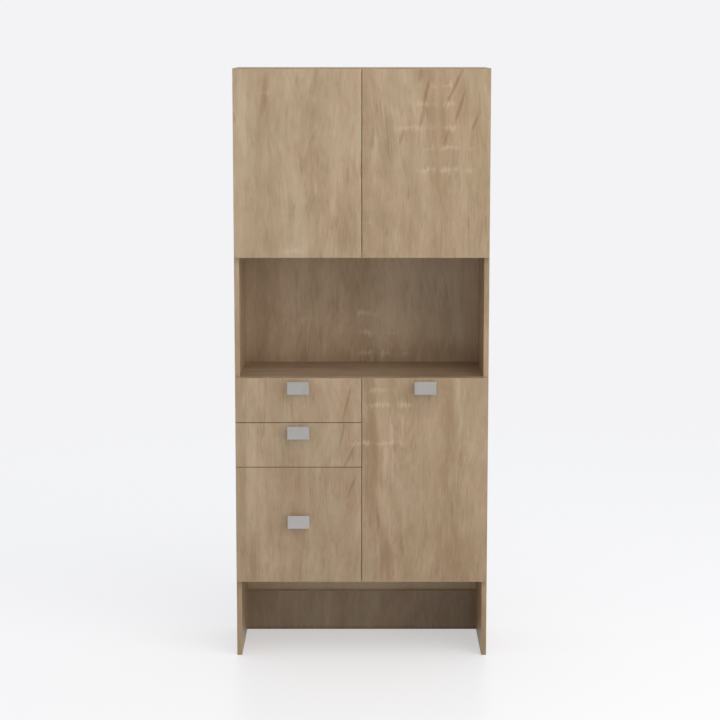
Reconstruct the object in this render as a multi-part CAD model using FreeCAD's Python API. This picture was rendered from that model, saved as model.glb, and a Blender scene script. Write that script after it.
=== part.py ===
import FreeCAD, Part
import os
from FreeCAD import Vector

# Tall straight cabinet: two upper doors, an open niche, three drawers and one lower door.
# All sizes are in millimetres. X runs to the right, Y from the front to the back, Z up.
# The origin is on the floor, in the middle of the footprint.

# Carcass
cabinet_width = 800.0
cabinet_height = 1870.0
carcass_depth = 332.0
board = 16.0
plinth_height = 132.0

# Layout of the fronts, counted up from the floor
toe_height = 246.0
lower_front_height = 658.0
niche_height = 380.0
small_drawer_front = 141.0
front_gap = 2.0
side_reveal = 1.0
edge_reveal = 2.0
door_gap = 3.0
finger_overhang = 16.0
front_edge_radius = 1.0

# Back sheets
back_thickness = 4.0
back_inset = 6.0
groove_depth = 8.0
groove_clearance = 0.2
back_side_clearance = 0.5
back_plinth_overlap = 40.0
back_screw_radius = 1.5
back_screw_bite = 13.0
back_screw_head_radius = 5.0
back_screw_head = 1.5
back_screw_spacing = 200.0
back_screw_columns = (-1.5, -0.5, 0.5, 1.5)
back_seam_clearance = 0.2

# Shelves and their pins
shelf_setback = 25.0
shelf_rear_clearance = 2.0
shelf_side_clearance = 1.0
shelf_pin_radius = 2.5
shelf_pin_hole_depth = 10.0
shelf_pin_depth = 9.0
shelf_pin_inset = 40.0
shelf_hole_pitch = 32.0
shelf_hole_steps = (-2, -1, 0, 1, 2)
tongue_length = 9.0
tongue_width = 10.0
tongue_thickness = 4.0

# Cam discs, cam bolts and dowels between the boards
cam_radius = 7.5
cam_below_middle = 4.5
cam_slot_length = 9.0
cam_slot_width = 1.8
cam_slot_depth = 2.0
bolt_reach = 24.0
bolt_thread_radius = 2.5
bolt_thread_length = 11.0
bolt_shank_radius = 3.5
bolt_bore_radius = 4.0
joint_inset = 40.0
joint_pitch = 32.0
dowel_radius = 4.0
dowel_in_face = 10.0
dowel_in_edge = 20.0

# Carcass screws for hinge plates, runner rails and wall brackets
screw_radius = 2.5
screw_bite = 12.0
screw_head_radius = 4.0
screw_head = 2.0
screw_hole_clearance = 0.2

# Wall brackets under the top panel
bracket_spacing = 600.0
bracket_width = 24.0
bracket_leg = 34.0
bracket_steel = 2.0
wall_hole_radius = 3.0
wall_hole_drop = 24.0

# Cup hinges
hinge_end_distance = 100.0
pivot_from_edge = 7.0
pivot_below_face = 8.0
hinge_pin_radius = 1.25
hinge_pin_clearance = 0.05
barrel_radius = 2.1
cup_edge_distance = 3.0
cup_radius = 17.5
cup_depth = 11.5
cup_wall = 0.8
cup_rim = 0.5
flange_thickness = 1.0
flange_half_height = 31.0
flange_reach = 14.0
cup_plug_radius = 4.0
cup_plug_depth = 9.0
cup_plug_height = 24.0
cup_plug_offset = 8.0
arm_half_width = 4.5
neck_thickness = 2.0
neck_forward = 0.5
leg_distance = 15.0
leg_thickness = 3.0
arm_front = 10.0
arm_rear = 60.0
plate_centre = 37.0
plate_core_half_length = 14.0
plate_core_half_width = 8.0
plate_height = 4.0
wing_thickness = 2.0
wing_half_width = 6.0
wing_half_height = 22.0
plate_screw_height = 16.0

# Pulls
pull_width = 70.0
pull_height = 42.0
pull_thickness = 5.0
pull_bevel = 1.5
pull_projection = 23.0
pull_drop = 29.0
deep_pull_drop = 173.0
post_radius = 5.0
post_half_spacing = 16.0
post_rise = 10.0
pull_screw_radius = 2.0
pull_screw_bite = 12.0
pull_screw_clearance = 0.25
pull_screw_head_radius = 4.0
pull_screw_head = 2.0

# Drawer boxes
drawer_board = 12.0
drawer_bottom = 3.0
box_lift = 12.0
box_drop = 40.0
deep_box_drop = 90.0
housing_depth = 5.0
bottom_rise = 10.0
bottom_groove = 5.0
bottom_clearance = 0.5
bottom_groove_clearance = 0.1
corner_screw_radius = 1.75
corner_screw_length = 35.0
corner_screw_head_radius = 3.5
corner_screw_head = 2.0
corner_screw_inset = 20.0

# Runners: a cabinet rail, a middle rail and a drawer rail nest in each other on both sides
runner_gap = 12.5
runner_half_height = 22.5
runner_setback = 4.0
runner_rear_clearance = 18.0
runner_rise = 40.0
rail_steel = 1.2
rail_clearance = 0.3
cabinet_rail_reach = 8.5
cabinet_lip = 4.0
middle_bead = 3.0
middle_half_height = 16.5
middle_rail_reach = 10.6
middle_lip = 3.5
rail_screw_inset = 35.0
drawer_rail_screw_radius = 1.75
drawer_rail_screw_bite = 10.0
drawer_rail_screw_head_radius = 3.5

# Derived places
half_width = cabinet_width / 2
inner_half = half_width - board
inner_depth = carcass_depth - back_inset - back_thickness
overall_depth = pull_projection + board + door_gap + carcass_depth
front_y = pull_projection + board + door_gap - overall_depth / 2
front_inner = -door_gap
front_outer = -door_gap - board
lower_top = toe_height + lower_front_height
upper_bottom = lower_top + niche_height
upper_top = cabinet_height - edge_reveal
bottom_z = toe_height + edge_reveal
niche_floor_z = lower_top + edge_reveal - board
niche_ceiling_z = upper_bottom + finger_overhang
top_z = cabinet_height - board
divider_half = board / 2
front_outer_x = half_width - side_reveal
front_inner_x = front_gap / 2
front_middle_x = (front_outer_x + front_inner_x) / 2

RIGHT = Vector(1, 0, 0)
REAR = Vector(0, 1, 0)
UP = Vector(0, 0, 1)
SIDE_NODE = {-1: "left_side_panel", 1: "right_side_panel"}

pieces = {}
cutters = {}


def add(node, solid):
    """Keep a solid as a piece of the named node."""
    pieces.setdefault(node, []).append(solid)


def remove(node, tool):
    """Keep a shape that is taken away from the named node at the end."""
    cutters.setdefault(node, []).append(tool)


def at(x, depth, z):
    """Point given by its depth behind the front edges of the carcass."""
    return Vector(x, front_y + depth, z)


def block(x, depth, z):
    """Box from three pairs of limits."""
    left, right = sorted(x)
    front, rear = sorted(depth)
    low, high = sorted(z)
    return Part.makeBox(right - left, rear - front, high - low, at(left, front, low))


def rod(radius, start, end):
    """Cylinder between two points."""
    along = end - start
    return Part.makeCylinder(radius, along.Length, start, along)


def rounded_front(x, z):
    """Door or drawer front with eased edges all round both faces."""
    solid = block(x, (front_outer, front_inner), z)
    edges = [edge for edge in solid.Edges if edge.BoundBox.YLength < front_edge_radius]
    return solid.makeFillet(front_edge_radius, edges)


# Boards of the carcass
for side in (-1, 1):
    side_x = (side * inner_half, side * half_width)
    add(SIDE_NODE[side], block(side_x, (0, carcass_depth), (0, cabinet_height)))
    groove_floor = side * (inner_half + groove_depth)
    groove = (inner_depth - groove_clearance, inner_depth + back_thickness + groove_clearance)
    remove(SIDE_NODE[side], block((side * inner_half, groove_floor), groove, (0, top_z + groove_depth)))

inner_x = (-inner_half, inner_half)
add("top_panel", block(inner_x, (0, carcass_depth), (top_z, cabinet_height)))
remove("top_panel", block(inner_x, groove, (top_z, top_z + groove_depth)))
add("niche_ceiling_panel", block(inner_x, (0, inner_depth), (niche_ceiling_z, niche_ceiling_z + board)))
add("niche_floor_panel", block(inner_x, (0, inner_depth), (niche_floor_z, niche_floor_z + board)))
add("bottom_panel", block(inner_x, (0, inner_depth), (bottom_z, bottom_z + board)))
divider_x = (-divider_half, divider_half)
add("lower_divider", block(divider_x, (0, inner_depth), (bottom_z + board, niche_floor_z)))
add("rear_plinth_board", block(inner_x, (inner_depth - board, inner_depth), (0, plinth_height)))

# Back sheets, which meet behind the niche floor
back_half = inner_half + groove_depth - back_side_clearance
back_x = (-back_half, back_half)
back_rear = inner_depth + back_thickness
seam_z = niche_floor_z + board / 2
seam_half = back_screw_radius + back_seam_clearance
back_top = top_z + groove_depth - back_side_clearance
add("upper_back_panel", block(back_x, (inner_depth, back_rear), (seam_z + seam_half, back_top)))
back_low = plinth_height - back_plinth_overlap
add("lower_back_panel", block(back_x, (inner_depth, back_rear), (back_low, seam_z - seam_half)))


def back_screw_row(board_node, z):
    """Screws through the back into the rear edge or face of a board."""
    for column in back_screw_columns:
        x = column * back_screw_spacing
        shank = rod(back_screw_radius, at(x, inner_depth - back_screw_bite, z), at(x, back_rear, z))
        head = rod(back_screw_head_radius, at(x, back_rear, z), at(x, back_rear + back_screw_head, z))
        add("back_screws", shank.fuse(head))
        for node in (board_node, "upper_back_panel", "lower_back_panel"):
            remove(node, shank)


back_screw_row("niche_ceiling_panel", niche_ceiling_z + board / 2)
back_screw_row("niche_floor_panel", seam_z)
back_screw_row("bottom_panel", bottom_z + board / 2)
back_screw_row("rear_plinth_board", plinth_height - back_plinth_overlap / 2)


def cam_joint(edge_node, face_node, meeting, into, cam_face):
    """Cam in an edge-on board, whose bolt is screwed into the face of the other board.

    meeting lies on the face, into points from there into the edge-on board and
    cam_face points out of the side of that board from which the cam is set in.
    """
    centre = meeting + into * bolt_reach
    mouth = centre + cam_face * (board / 2)
    thread_end = meeting - into * bolt_thread_length
    pocket = rod(cam_radius, centre - cam_face * cam_below_middle, mouth)
    passage = rod(bolt_bore_radius, meeting, centre)
    thread = rod(bolt_thread_radius, thread_end, meeting)
    across = cam_face.cross(into)
    cam = pocket.cut(passage)
    for long_way, short_way in ((into, across), (across, into)):
        reach = long_way * (cam_slot_length / 2)
        half = short_way * (cam_slot_width / 2)
        corners = [mouth + reach + half, mouth + reach - half, mouth - reach - half, mouth - reach + half]
        slot = Part.Face(Part.makePolygon(corners + corners[:1])).extrude(cam_face * -cam_slot_depth)
        cam = cam.cut(slot)
    add("cam_discs", cam)
    add("cam_bolts", thread.fuse(rod(bolt_shank_radius, meeting, centre)))
    remove(face_node, thread)
    remove(edge_node, passage)
    remove(edge_node, pocket)


def dowel_joint(edge_node, face_node, meeting, into):
    """Wooden dowel shared by an edge-on board and the face it meets."""
    dowel = rod(dowel_radius, meeting - into * dowel_in_face, meeting + into * dowel_in_edge)
    add("wood_dowels", dowel)
    remove(edge_node, dowel)
    remove(face_node, dowel)


cam_depths = (joint_inset, inner_depth - joint_inset)
dowel_depths = (joint_inset + joint_pitch, inner_depth - joint_inset - joint_pitch)
shelf_boards = {
    "top_panel": (top_z, UP),
    "niche_ceiling_panel": (niche_ceiling_z, UP),
    "niche_floor_panel": (niche_floor_z, -UP),
    "bottom_panel": (bottom_z, -UP),
}
for node, (low, cam_face) in shelf_boards.items():
    middle = low + board / 2
    for side in (-1, 1):
        for depth in cam_depths:
            cam_joint(node, SIDE_NODE[side], at(side * inner_half, depth, middle), RIGHT * -side, cam_face)
        for depth in dowel_depths:
            dowel_joint(node, SIDE_NODE[side], at(side * inner_half, depth, middle), RIGHT * -side)

divider_ends = (("niche_floor_panel", niche_floor_z, -UP), ("bottom_panel", bottom_z + board, UP))
for face_node, z, into in divider_ends:
    for depth in cam_depths:
        cam_joint("lower_divider", face_node, at(0, depth, z), into, RIGHT)
    for depth in dowel_depths:
        dowel_joint("lower_divider", face_node, at(0, depth, z), into)

plinth_middle = inner_depth - board / 2
for side in (-1, 1):
    meeting = at(side * inner_half, plinth_middle, joint_inset)
    cam_joint("rear_plinth_board", SIDE_NODE[side], meeting, RIGHT * -side, REAR)
    dowel_joint("rear_plinth_board", SIDE_NODE[side], meeting + UP * joint_pitch, RIGHT * -side)


def shelf(node, left, right, low, high):
    """Loose shelf halfway up a compartment, on four pins in rows of holes.

    left and right are the inner faces, each with the node of its board.
    """
    left_x, left_node = left
    right_x, right_node = right
    under = (low + high - board) / 2
    rear = inner_depth - shelf_rear_clearance
    span = (left_x + shelf_side_clearance, right_x - shelf_side_clearance)
    add(node, block(span, (shelf_setback, rear), (under, under + board)))
    pin_z = under - tongue_thickness / 2
    for face, face_node, into in ((left_x, left_node, -RIGHT), (right_x, right_node, RIGHT)):
        for depth in (shelf_setback + shelf_pin_inset, rear - shelf_pin_inset):
            for step in shelf_hole_steps:
                mouth = at(face, depth, pin_z + step * shelf_hole_pitch)
                remove(face_node, rod(shelf_pin_radius, mouth, mouth + into * shelf_pin_hole_depth))
            mouth = at(face, depth, pin_z)
            pin = rod(shelf_pin_radius, mouth, mouth + into * shelf_pin_depth)
            tongue_x = (face, face - into.x * tongue_length)
            tongue_depth = (depth - tongue_width / 2, depth + tongue_width / 2)
            add("shelf_pins", pin.fuse(block(tongue_x, tongue_depth, (under - tongue_thickness, under))))


left_face = (-inner_half, SIDE_NODE[-1])
right_face = (inner_half, SIDE_NODE[1])
shelf("upper_shelf", left_face, right_face, niche_ceiling_z + board, top_z)
shelf("lower_shelf", (divider_half, "lower_divider"), right_face, bottom_z + board, niche_floor_z)


def carcass_screw(board_node, face, out, hardware):
    """Screw through a piece of hardware of that thickness; returns the hole it needs in it."""
    inner_end = face - out * screw_bite
    head_seat = face + out * hardware
    shank = rod(screw_radius, inner_end, head_seat)
    head = rod(screw_head_radius, head_seat, head_seat + out * screw_head)
    add("carcass_screws", shank.fuse(head))
    remove(board_node, rod(screw_radius, inner_end, face))
    return rod(screw_radius + screw_hole_clearance, face, head_seat)


# Wall brackets: one leg under the top panel, one on the back with a hole for a wall screw
for side in (-1, 1):
    x = side * bracket_spacing / 2
    width = (x - bracket_width / 2, x + bracket_width / 2)
    upper_leg = block(width, (inner_depth - bracket_leg, inner_depth), (top_z - bracket_steel, top_z))
    rear_leg = block(width, (inner_depth - bracket_steel, inner_depth), (top_z - bracket_leg, top_z))
    bracket = upper_leg.fuse(rear_leg).removeSplitter()
    screw_place = at(x, inner_depth - bracket_leg / 2, top_z)
    bracket = bracket.cut(carcass_screw("top_panel", screw_place, -UP, bracket_steel))
    wall_z = top_z - wall_hole_drop
    wall_hole = rod(wall_hole_radius, at(x, inner_depth - bracket_steel, wall_z), at(x, back_rear, wall_z))
    add("wall_brackets", bracket.cut(wall_hole))
    remove("upper_back_panel", wall_hole)


def hinge(door, side, z):
    """Concealed cup hinge at one height.

    The plate and arm stay on the side panel. The cup and its pin ride on the door.
    inward(u) is the place u millimetres in from the outer face of the side panel.
    """
    def inward(u):
        return side * (half_width - u)

    pivot_u = side_reveal + pivot_from_edge
    pivot_depth = front_inner - pivot_below_face
    cup_u = side_reveal + cup_edge_distance + cup_radius
    pivot = at(inward(pivot_u), pivot_depth, z)
    cup_mouth = at(inward(cup_u), front_inner, z)

    # Cup, with a flange and two press-in plugs
    inner_radius = cup_radius - cup_wall
    shell = rod(cup_radius, cup_mouth - REAR * cup_depth, cup_mouth)
    rim = rod(cup_radius + cup_rim, cup_mouth, cup_mouth + REAR * flange_thickness)
    wing_x = (inward(cup_u), inward(cup_u + flange_reach))
    wing_z = (z - flange_half_height, z + flange_half_height)
    wing = block(wing_x, (front_inner, front_inner + flange_thickness), wing_z)
    plugs = []
    for height in (-cup_plug_height, cup_plug_height):
        plug_mouth = at(inward(cup_u + cup_plug_offset), front_inner, z + height)
        plugs.append(rod(cup_plug_radius, plug_mouth - REAR * cup_plug_depth, plug_mouth))
    hollow_floor = cup_mouth - REAR * (cup_depth - cup_wall)
    hollow = rod(inner_radius, hollow_floor, cup_mouth + REAR * flange_thickness)
    pin_reach = UP * cup_radius
    wall_middle = rod(cup_radius - cup_wall / 2, cup_mouth - REAR * cup_depth, cup_mouth)
    pin = rod(hinge_pin_radius, pivot - pin_reach, pivot + pin_reach).common(wall_middle)
    cup = shell.fuse([rim, wing] + plugs).removeSplitter()
    add(door + "_hinge_cups", cup.cut([hollow, pin]))
    add(door + "_hinge_pins", pin.Solids[0])
    remove(door, shell)
    for plug in plugs:
        remove(door, plug)

    # Arm: barrel on the pin, neck in the cup, leg out of the cup and bar on the plate
    arm_z = (z - arm_half_width, z + arm_half_width)
    leg_u = pivot_u + leg_distance
    leg_x = (inward(leg_u), inward(leg_u + leg_thickness))
    neck_front = pivot_depth - neck_forward - neck_thickness / 2
    neck_x = (inward(pivot_u), inward(leg_u + leg_thickness))
    barrel = rod(barrel_radius, pivot - UP * arm_half_width, pivot + UP * arm_half_width)
    neck = block(neck_x, (neck_front, neck_front + neck_thickness), arm_z)
    leg = block(leg_x, (neck_front, arm_front), arm_z)
    plate_top = board + plate_height
    bar = block((inward(plate_top), inward(leg_u + leg_thickness)), (arm_front, arm_rear), arm_z)
    bore_reach = UP * arm_half_width
    bore = rod(hinge_pin_radius + hinge_pin_clearance, pivot - bore_reach, pivot + bore_reach)
    add("hinge_arms", barrel.fuse([neck, leg, bar]).removeSplitter().cut(bore))

    # Mounting plate with two screws into the side panel
    core_depth = (plate_centre - plate_core_half_length, plate_centre + plate_core_half_length)
    core_z = (z - plate_core_half_width, z + plate_core_half_width)
    core = block((inward(board), inward(plate_top)), core_depth, core_z)
    wing_depth = (plate_centre - wing_half_width, plate_centre + wing_half_width)
    wing_z = (z - wing_half_height, z + wing_half_height)
    wings = block((inward(board), inward(board + wing_thickness)), wing_depth, wing_z)
    plate = core.fuse(wings).removeSplitter()
    for height in (-plate_screw_height, plate_screw_height):
        face = at(inward(board), plate_centre, z + height)
        plate = plate.cut(carcass_screw(SIDE_NODE[side], face, RIGHT * -side, wing_thickness))
    add("hinge_plates", plate)


def pull(front_node, pull_node, screw_node, x, z):
    """Rectangular plate pull on two posts, with screws from inside the front."""
    tip = front_outer - pull_projection
    back_of_plate = tip + pull_thickness
    wide = (x - pull_width / 2, x + pull_width / 2)
    plate = block(wide, (tip, back_of_plate), (z - pull_height / 2, z + pull_height / 2))
    tip_y = front_y + tip
    front_edges = [edge for edge in plate.Edges if edge.BoundBox.YMax < tip_y + pull_bevel]
    plate = plate.makeChamfer(pull_bevel, front_edges)
    for place in (-post_half_spacing, post_half_spacing):
        axis_x = x + place
        axis_z = z + post_rise
        seat = at(axis_x, front_outer, axis_z)
        inner = at(axis_x, front_inner, axis_z)
        shank = rod(pull_screw_radius, seat - REAR * pull_screw_bite, inner)
        head = rod(pull_screw_head_radius, inner, inner + REAR * pull_screw_head)
        plate = plate.fuse(rod(post_radius, at(axis_x, back_of_plate, axis_z), seat)).cut(shank)
        add(screw_node, shank.fuse(head))
        remove(front_node, rod(pull_screw_radius + pull_screw_clearance, seat, inner))
    add(pull_node, plate)


# Doors, hung on the side panels
doors = {
    "upper_left_door": (-1, upper_bottom, upper_top),
    "upper_right_door": (1, upper_bottom, upper_top),
    "lower_door": (1, toe_height, lower_top),
}
for door, (side, low, high) in doors.items():
    add(door, rounded_front((side * front_inner_x, side * front_outer_x), (low, high)))
    for z in (low + hinge_end_distance, high - hinge_end_distance):
        hinge(door, side, z)
pull("lower_door", "lower_door_pull", "lower_door_screws", front_middle_x, lower_top - pull_drop)


# Runners
runner_length = inner_depth - runner_setback - runner_rear_clearance
runner_end = runner_setback + runner_length


def rail(rectangles, face, direction, z):
    """Straight rail whose section is a set of rectangles, repeated upside down.

    Each rectangle gives its limits out from the cabinet face and up from the middle line.
    """
    bars = []
    for out, height in rectangles:
        x = (face + direction * out[0], face + direction * out[1])
        for turn in (-1, 1):
            bars.append(block(x, (runner_setback, runner_end), (z + turn * height[0], z + turn * height[1])))
    return bars[0].fuse(bars[1:]).removeSplitter()


flange_low = runner_half_height - rail_steel
cabinet_section = (
    ((0, rail_steel), (0, runner_half_height)),
    ((0, cabinet_rail_reach), (flange_low, runner_half_height)),
    ((cabinet_rail_reach - rail_steel, cabinet_rail_reach), (flange_low - cabinet_lip, runner_half_height)),
)
bead_top = flange_low - rail_clearance
bead_low = bead_top - middle_bead
bead_near = rail_steel + rail_clearance
bead_far = cabinet_rail_reach - rail_steel - rail_clearance
middle_web = (bead_near + bead_far - rail_steel) / 2
middle_ceiling = middle_half_height - rail_steel
middle_section = (
    ((middle_web, middle_web + rail_steel), (0, bead_top)),
    ((bead_near, bead_far), (bead_low, bead_top)),
    ((middle_web, middle_rail_reach), (middle_ceiling, middle_half_height)),
    ((middle_rail_reach - rail_steel, middle_rail_reach), (middle_ceiling - middle_lip, middle_half_height)),
)
arm_top = middle_ceiling - middle_lip - rail_clearance
slide_near = middle_web + rail_steel + rail_clearance
slide_far = middle_rail_reach - rail_steel - rail_clearance
drawer_section = (
    ((runner_gap - rail_steel, runner_gap), (0, arm_top)),
    ((slide_near, runner_gap), (arm_top - rail_steel, arm_top)),
    ((slide_near, slide_far), (arm_top - rail_steel, middle_ceiling - rail_clearance)),
)


def runner(drawer, side_node, face_node, face, direction, z):
    """Three nested rails between a cabinet face and one side of a drawer box."""
    cabinet_rail = rail(cabinet_section, face, direction, z)
    drawer_rail = rail(drawer_section, face, direction, z)
    seat = face + direction * runner_gap
    for depth in (runner_setback + rail_screw_inset, runner_end - rail_screw_inset):
        hole = carcass_screw(face_node, at(face, depth, z), RIGHT * direction, rail_steel)
        cabinet_rail = cabinet_rail.cut(hole)
        bite_end = at(seat + direction * drawer_rail_screw_bite, depth, z)
        head_seat = at(seat - direction * rail_steel, depth, z)
        shank = rod(drawer_rail_screw_radius, bite_end, head_seat)
        head = rod(drawer_rail_screw_head_radius, head_seat, head_seat - RIGHT * direction * screw_head)
        add(drawer + "_screws", shank.fuse(head))
        remove(side_node, shank)
        drawer_rail = drawer_rail.cut(shank)
    add("runner_cabinet_rails", cabinet_rail)
    add(drawer + "_middle_rails", rail(middle_section, face, direction, z))
    add(drawer + "_drawer_rails", drawer_rail)


def drawer_box(drawer, front_low, front_high, box_low, box_high, pull_z):
    """Drawer front, box, pull and runners in the left bay."""
    front = drawer + "_front"
    left_side = drawer + "_left_side"
    right_side = drawer + "_right_side"
    back = drawer + "_back"
    left_x = -inner_half + runner_gap
    right_x = -divider_half - runner_gap
    inside = (left_x + drawer_board, right_x - drawer_board)
    box_z = (box_low, box_high)
    add(front, rounded_front((-front_outer_x, -front_inner_x), (front_low, front_high)))

    # Sides are let into the back of the front; the back stands between them
    housed = front_inner - housing_depth
    for node, x in ((left_side, (left_x, inside[0])), (right_side, (inside[1], right_x))):
        side_board = block(x, (housed, runner_end), box_z)
        add(node, side_board)
        remove(front, side_board)
    back_front = runner_end - drawer_board
    add(back, block(inside, (back_front, runner_end), box_z))

    # Bottom sheet, in grooves of the front, the sides and the back
    groove_x = (inside[0] - bottom_groove, inside[1] + bottom_groove)
    groove_y = (front_inner - bottom_groove, back_front + bottom_groove)
    sheet_low = box_low + bottom_rise
    sheet_z = (sheet_low, sheet_low + drawer_bottom)
    slack = bottom_clearance
    sheet_x = (groove_x[0] + slack, groove_x[1] - slack)
    add(drawer + "_bottom", block(sheet_x, (groove_y[0] + slack, groove_y[1] - slack), sheet_z))
    groove_z = (sheet_z[0] - bottom_groove_clearance, sheet_z[1] + bottom_groove_clearance)
    for node in (front, left_side, right_side, back):
        remove(node, block(groove_x, groove_y, groove_z))

    # Two screws through each side into the back
    screw_depth = runner_end - drawer_board / 2
    for node, face, inward in ((left_side, left_x, RIGHT), (right_side, right_x, -RIGHT)):
        for z in (box_low + corner_screw_inset, box_high - corner_screw_inset):
            start = at(face, screw_depth, z)
            shank = rod(corner_screw_radius, start, start + inward * corner_screw_length)
            head = rod(corner_screw_head_radius, start, start + inward * corner_screw_head)
            screw = shank.fuse(head)
            add(drawer + "_screws", screw)
            remove(node, screw)
            remove(back, screw)

    pull(front, drawer + "_pull", drawer + "_screws", -front_middle_x, pull_z)
    runner_z = box_low + runner_rise
    runner(drawer, left_side, SIDE_NODE[-1], -inner_half, 1, runner_z)
    runner(drawer, right_side, "lower_divider", -divider_half, -1, runner_z)


# Drawers, from the top down
for number in (1, 2):
    front_high = lower_top - (number - 1) * (small_drawer_front + front_gap)
    front_low = front_high - small_drawer_front
    box_limits = (front_low + box_lift, front_high - box_drop)
    drawer_box("drawer_%d" % number, front_low, front_high, *box_limits, front_high - pull_drop)
deep_high = front_low - front_gap
deep_box = (bottom_z + board + box_lift, deep_high - deep_box_drop)
drawer_box("drawer_3", toe_height, deep_high, *deep_box, deep_high - deep_pull_drop)

# One file for each node
os.makedirs("parts", exist_ok=True)
for node, solids in pieces.items():
    tools = cutters.get(node, [])
    if tools:
        solids = [solid for piece in solids for solid in piece.cut(tools).Solids]
    shape = solids[0] if len(solids) == 1 else Part.makeCompound(solids)
    shape.exportStep("parts/" + node + ".step")
print(len(pieces), "nodes,", sum(len(solids) for solids in pieces.values()), "solids")
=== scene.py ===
# %% [markdown]
# # A tall oak-look cabinet
# This lesson dresses the solid model of a tall kitchen cabinet: two doors on top, an open niche,
# three drawers beside a lower door, and an open toe space. The solids already have the right shape
# and size, so most of the work here is in the finishes. Only the screws, which have finer detail
# than the solids carry, are made new.

# %% Load the solid model
import math
import bmesh
import bpy
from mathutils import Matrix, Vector


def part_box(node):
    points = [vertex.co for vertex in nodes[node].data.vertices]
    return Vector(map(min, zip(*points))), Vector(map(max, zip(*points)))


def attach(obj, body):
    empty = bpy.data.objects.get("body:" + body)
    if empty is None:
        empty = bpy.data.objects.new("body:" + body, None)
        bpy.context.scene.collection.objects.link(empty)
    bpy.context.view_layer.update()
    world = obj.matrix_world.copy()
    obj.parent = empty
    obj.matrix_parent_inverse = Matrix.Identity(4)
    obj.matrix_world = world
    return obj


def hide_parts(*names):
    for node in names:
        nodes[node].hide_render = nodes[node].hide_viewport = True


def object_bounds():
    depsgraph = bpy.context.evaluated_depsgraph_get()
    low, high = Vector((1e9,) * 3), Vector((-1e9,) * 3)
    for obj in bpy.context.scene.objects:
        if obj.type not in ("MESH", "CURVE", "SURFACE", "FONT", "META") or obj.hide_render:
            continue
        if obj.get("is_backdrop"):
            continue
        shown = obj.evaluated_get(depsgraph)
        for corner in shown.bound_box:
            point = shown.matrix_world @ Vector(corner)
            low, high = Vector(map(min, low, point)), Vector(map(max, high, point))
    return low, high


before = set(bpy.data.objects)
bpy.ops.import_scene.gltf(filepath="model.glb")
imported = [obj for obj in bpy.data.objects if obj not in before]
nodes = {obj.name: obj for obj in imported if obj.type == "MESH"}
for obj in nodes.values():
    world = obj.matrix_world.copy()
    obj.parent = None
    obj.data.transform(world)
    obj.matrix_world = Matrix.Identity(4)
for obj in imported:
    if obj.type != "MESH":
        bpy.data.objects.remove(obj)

cad_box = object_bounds()
print("solid pieces:", len(nodes), "size in metres:", [round(side, 3) for side in cad_box[1] - cad_box[0]])

# %% [markdown]
# ## Camera
# The photograph looks straight at the front with a long lens, from a little above the top of the
# cabinet. Its picture is square, so one focal length in pixels gives the lens for any sensor width.
# The place and tilt follow from how much narrower the cabinet looks at the floor than at the top.

# %% Camera
PICTURE_SIDE = 720
FOCAL_PIXELS = 2123
SENSOR_WIDTH = 36.0
CAMERA_PLACE = (-0.0054, -6.760, 1.948)
LOOK_DOWN = math.radians(8.5)

camera_data = bpy.data.cameras.new("photo_camera")
camera_data.sensor_width = SENSOR_WIDTH
camera_data.lens = SENSOR_WIDTH * FOCAL_PIXELS / PICTURE_SIDE
camera = bpy.data.objects.new("photo_camera", camera_data)
camera.location = CAMERA_PLACE
camera.rotation_euler = (math.pi / 2 - LOOK_DOWN, 0, 0)
bpy.context.scene.collection.objects.link(camera)
bpy.context.scene.camera = camera
print("lens in millimetres:", round(camera_data.lens, 2))

# %% [markdown]
# ## Node helpers
# A node tree made in code is mostly the same three steps: add a node, set its options, fill its
# inputs. One helper does these steps, and short ones on top of it name the nodes that come up again
# and again. An input takes either a plain value or the output of another node.

# %% Helpers for single nodes
def wire(tree, kind, inputs=None, **options):
    """Add a node, set its options, and fill each input with a value or a link."""
    made = tree.nodes.new(kind)
    for option, value in options.items():
        setattr(made, option, value)
    for key, value in (inputs or {}).items():
        if isinstance(value, bpy.types.NodeSocket):
            tree.links.new(value, made.inputs[key])
        else:
            made.inputs[key].default_value = value
    return made


def calculate(tree, operation, first, second=0.0):
    """One step of arithmetic."""
    return wire(tree, "ShaderNodeMath", {0: first, 1: second}, operation=operation).outputs[0]


def calculate_vector(tree, operation, first, second):
    """One step of arithmetic on vectors."""
    return wire(tree, "ShaderNodeVectorMath", {0: first, 1: second}, operation=operation).outputs[0]


def measure(tree, vector):
    """Length of a vector."""
    return wire(tree, "ShaderNodeVectorMath", {0: vector}, operation="LENGTH").outputs["Value"]


def join(tree, x=0.0, y=0.0, z=0.0):
    """Vector from three numbers."""
    return wire(tree, "ShaderNodeCombineXYZ", {"X": x, "Y": y, "Z": z}).outputs[0]


def split(tree, vector):
    """The three numbers of a vector, by the names X, Y and Z."""
    return wire(tree, "ShaderNodeSeparateXYZ", {0: vector}).outputs


def object_place(tree):
    """Place of a point on the cabinet, in metres."""
    return wire(tree, "ShaderNodeTexCoord").outputs["Object"]


def fade(tree, value, start, end, low=0.0, high=1.0):
    """Smooth step from low at start to high at end."""
    inputs = {"Value": value, "From Min": start, "From Max": end, "To Min": low, "To Max": high}
    return wire(tree, "ShaderNodeMapRange", inputs, interpolation_type="SMOOTHSTEP").outputs["Result"]


def noise(tree, place, stretch, detail=2.0, roughness=0.5):
    """Soft noise; stretch is how many blotches fit in a metre along each direction."""
    scaled = calculate_vector(tree, "MULTIPLY", place, stretch)
    inputs = {"Vector": scaled, "Scale": 1.0, "Detail": detail, "Roughness": roughness}
    return wire(tree, "ShaderNodeTexNoise", inputs).outputs[0]


def mix_colours(tree, share, first, second, blend="MIX"):
    """First colour where share is 0, blended with the second where it is 1."""
    inputs = {0: share, 6: first, 7: second}
    return wire(tree, "ShaderNodeMix", inputs, data_type="RGBA", blend_type=blend).outputs[2]


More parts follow.
